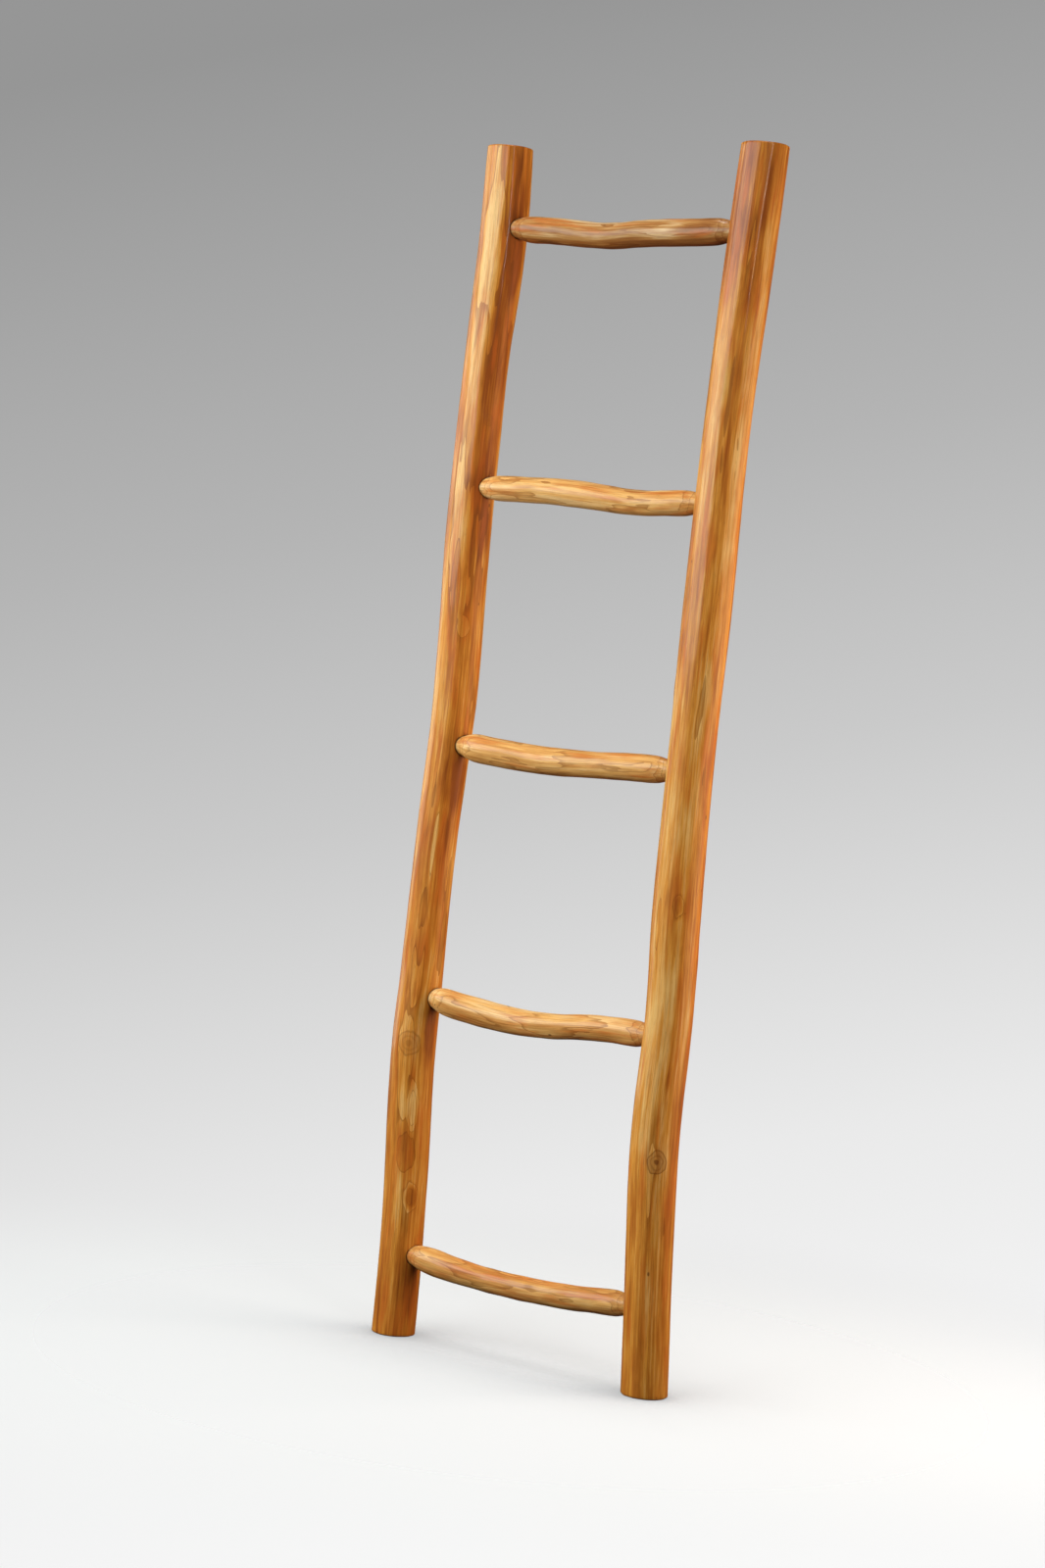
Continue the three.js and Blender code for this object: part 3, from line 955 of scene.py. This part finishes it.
# Marks in the rungs are given in mm in the grain. Rung 2 has its middle at 6000, rung 4 at 8000 and
# rung 5, the top one, at 9000. The marks on rungs 2 and 4, and the two long marks on the top rung, are
# painted light and shade: paler along the upper side that the top lamp lights, browner along the
# underside.
rung_painted_light = [
    # Painted light: rungs 2 and 4 are paler, mostly along their upper sides.
    ((0, 8, 6000), 22, 300, 0.0, 0.2),
    ((0, 14, 8000), 12, 300, 0.0, 0.14),
]
top_marks_and_painted_light = [
    ((-12, 3, 9090), 9, 26, 0.8, 0.12),
    ((-14, -2, 9130), 11, 45, 0.0, -0.22),
    # Painted light and shade on the top rung: paler along its upper side, browner along its underside.
    ((0, 14, 9000), 11, 260, 0.0, 0.24),
    ((-4, -14, 9000), 12, 260, 0.0, -0.28),
]
rung_wood = lacquered_teak(
    "rung_lacquered_teak", RUNG_TONES, RUNG_RING, RUNG_WANDER, ACROSS, rung_painted_light
)
top_wood = lacquered_teak(
    "top_rung_lacquered_teak", TOP_RUNG_TONES, RUNG_RING, RUNG_WANDER, ACROSS, top_marks_and_painted_light
)
for number, rung in rungs.items():
    keep_grain(rung, RUNG_AXES, curves[f"rung_{number}"][:2], RUNG_SHIFT + number)
    finished(rung, f"rung_{number}", top_wood if number == RUNG_COUNT else rung_wood)

plug_wood = lacquered_teak("plug_lacquered_teak", PLUG_TONES, PLUG_RING, PLUG_WANDER, BACK)
for (side, number), plug in plugs.items():
    centre = middle(f"{side}_plug_{number}")
    still = [lambda z, c=c: np.full(len(z), c) for c in (centre.x - PITH_ASIDE, centre.y)]
    keep_grain(plug, RAIL_AXES, still, PLUG_SHIFT + number)
    finished(plug, f"{side}_plug_{number}", plug_wood)

# %% [markdown]
# ## The screws
#
# The screws are zinc plated steel, rolled and then driven, so the bright plating is rubbed
# along the turn. They are hidden in the joint, and the measured solids already have the right
# shape, so they only take a better material.

# %% Zinc plated steel
def zinc_plated_steel(name):
    material, tree = new_material(name)
    place = add(tree, "TexCoord", output="Object")
    rubbed = add(tree, "VectorMath", {0: place, 1: (900, 5000, 900)}, operation="MULTIPLY")
    marks = add(tree, "TexNoise", {"Vector": rubbed, "Scale": 1.0, "Detail": 3.0})
    tone = add(tree, "ValToRGB", {0: marks})
    tone.node.color_ramp.elements[0].color = linear("#8E8F8C")
    tone.node.color_ramp.elements[1].color = linear("#C9CACB")
    rough = add(tree, "MapRange", {0: marks, 3: 0.24, 4: 0.44})
    bump = add(tree, "Bump", {"Strength": 0.3, "Distance": 0.05 * MM, "Height": marks})
    steel = add(tree, "BsdfPrincipled", {
        "Base Color": tone, "Roughness": rough, "Normal": bump, "Metallic": 1.0,
    })
    add(tree, "OutputMaterial", {"Surface": steel})
    return material


screw_steel = zinc_plated_steel("zinc_plated_steel")
for name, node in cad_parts.items():
    if "_screw_" in name:
        node.data.materials.clear()
        node.data.materials.append(screw_steel)
print(sum("_screw_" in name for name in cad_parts), "screws are zinc plated")

# %% [markdown]
# ## The studio
#
# A pale floor fades into a backdrop that is white below and grey above. The floor is a disc
# that turns transparent towards its rim, so no horizon shows from any side. The two feet each
# keep some light from the floor close to them. Wide lamps leave that contact shade too weak to
# see, so the paper is also made darker wherever something near hides the open air.

# %% Floor
FLOOR_RADIUS = 1.35
FADE_START = 0.35
FLOOR_DROP = 0.2 * MM
PAPER_SHARE = 0.45
SHADE_REACH = 0.22


def studio_paper(name):
    material, tree = new_material(name)
    place = add(tree, "TexCoord", output="Object")
    away = add(tree, "VectorMath", {0: place}, "Value", operation="LENGTH")
    solid = rise(tree, away, FLOOR_RADIUS, FADE_START)
    solid = add(tree, "Math", {0: solid, 1: PAPER_SHARE}, operation="MULTIPLY")
    openness_for_painted_shade = add(tree, "AmbientOcclusion", {"Distance": SHADE_REACH}, "AO", samples=16)
    tone = tinted(tree, linear("#C8C8C8"), rise(tree, openness_for_painted_shade, 1.0, 0.5), 0.9, "#4C4C4C")
    paper = add(tree, "BsdfDiffuse", {"Color": tone})
    clear = add(tree, "BsdfTransparent")
    surface = add(tree, "MixShader", {0: solid, 1: clear, 2: paper})
    add(tree, "OutputMaterial", {"Surface": surface})
    return material


rim = np.linspace(0, math.tau, 96, endpoint=False)
floor_mesh = bpy.data.meshes.new("floor")
floor_points = [(FLOOR_RADIUS * math.cos(a), FLOOR_RADIUS * math.sin(a), -FLOOR_DROP) for a in rim]
floor_mesh.from_pydata(floor_points, [], [list(range(len(rim)))])
floor = bpy.data.objects.new("floor", floor_mesh)
bpy.context.scene.collection.objects.link(floor)
floor_mesh.materials.append(studio_paper("white_studio_paper"))
floor.visible_diffuse = False
floor.visible_glossy = False
print("the floor fades out between", FADE_START, "m and", FLOOR_RADIUS, "m from the ladder")

# %% [markdown]
# The backdrop is a set of greys by height, in the world itself, and a little lighter towards
# the right. It is dimmed for everything but the camera, so that the soft boxes alone shape the
# ladder.

# %% Backdrop
# The sine of the elevation, and the grey there, from below to above.
BACKDROP = [
    (-0.28, "#FAFAFA"),
    (-0.155, "#EAEAEA"),
    (-0.04, "#CACACA"),
    (0.05, "#B4B4B4"),
    (0.19, "#969696"),
]
BACKDROP_REACH = 0.3
SIDEWAYS = 0.28
world = bpy.data.worlds.new("backdrop")
bpy.context.scene.world = world
world.use_nodes = True
tree = world.node_tree
tree.nodes.clear()
way = add(tree, "TexCoord", output="Generated")
lighter_side = direction(CAMERA_AZIMUTH + math.pi / 2, 0)
uphill = Vector((0, 0, math.sqrt(1 - SIDEWAYS ** 2))) - SIDEWAYS * lighter_side
climb = add(tree, "VectorMath", {0: way, 1: uphill}, "Value", operation="DOT_PRODUCT")
share = add(tree, "MapRange", {0: climb, 1: -BACKDROP_REACH, 2: BACKDROP_REACH})
grey = add(tree, "ValToRGB", {0: share})
stops = grey.node.color_ramp.elements
for stop, (sine, colour) in zip([stops[0], stops[1]], [BACKDROP[0], BACKDROP[-1]]):
    stop.position = (sine / BACKDROP_REACH + 1) / 2
    stop.color = linear(colour)
for sine, colour in BACKDROP[1:-1]:
    stops.new((sine / BACKDROP_REACH + 1) / 2).color = linear(colour)
seen = add(tree, "LightPath", output="Is Camera Ray")
strength = add(tree, "MapRange", {0: seen, 3: 0.03, 4: 1.0})
backdrop = add(tree, "Background", {"Color": grey, "Strength": strength})
add(tree, "OutputWorld", {"Surface": backdrop})
print("the backdrop blends", len(BACKDROP), "greys")

# %% [markdown]
# Six soft boxes light the wood. The wide front box is the main one and gives the sheen, with a
# smaller one on the left and one overhead for the upper sides. A low fill in front and a white
# panel behind the right rail lift the shade, and are kept out of the reflections. A narrow strip
# draws a thin line of light down the rails. The front and left boxes are slightly cool and the
# fills slightly warm, so the lit wood keeps its honey colour and its shade stays brown. One
# large lamp would be simpler, but would leave the far sides of the rails nearly black.

# %% Soft boxes
LIT_POINT = Vector((0, 0, 0.8))


def soft_box(name, azimuth, height, distance, width, tall, power, colour, shines=True):
    """An area light, with its azimuth in degrees round the ladder (0 is the front)."""
    data = bpy.data.lights.new(name, "AREA")
    data.color = linear(colour)[:3]
    data.shape = "RECTANGLE"
    data.size = width
    data.size_y = tall
    data.energy = power
    light = bpy.data.objects.new(name, data)
    place = distance * direction(math.radians(azimuth), 0) + Vector((0, 0, height))
    light.matrix_world = aimed(place, LIT_POINT)
    light.visible_glossy = shines
    bpy.context.scene.collection.objects.link(light)
    return light


boxes = [
    soft_box("front_box", -30, 1.75, 2.7, 3.8, 1.7, 120, "#F4FFFF"),
    soft_box("left_box", -88, 1.1, 2.2, 1.3, 2.0, 18, "#F0FFFF"),
    soft_box("front_fill", -26, 0.8, 2.6, 2.4, 1.2, 18, "#FFF4E8", shines=False),
    soft_box("side_panel", 124, 0.9, 1.15, 1.1, 1.2, 26, "#FFF3E6", shines=False),
    soft_box("strip_box", 59, 2.1, 2.7, 0.12, 1.0, 7, "#FFFFFF"),
    soft_box("top_box", 20, 7.0, 0.6, 3.0, 3.0, 300, "#FFFFFF"),
]
bpy.context.scene.view_settings.view_transform = "Standard"
print(len(boxes), "soft boxes of", round(sum(box.data.energy for box in boxes)), "W in all")
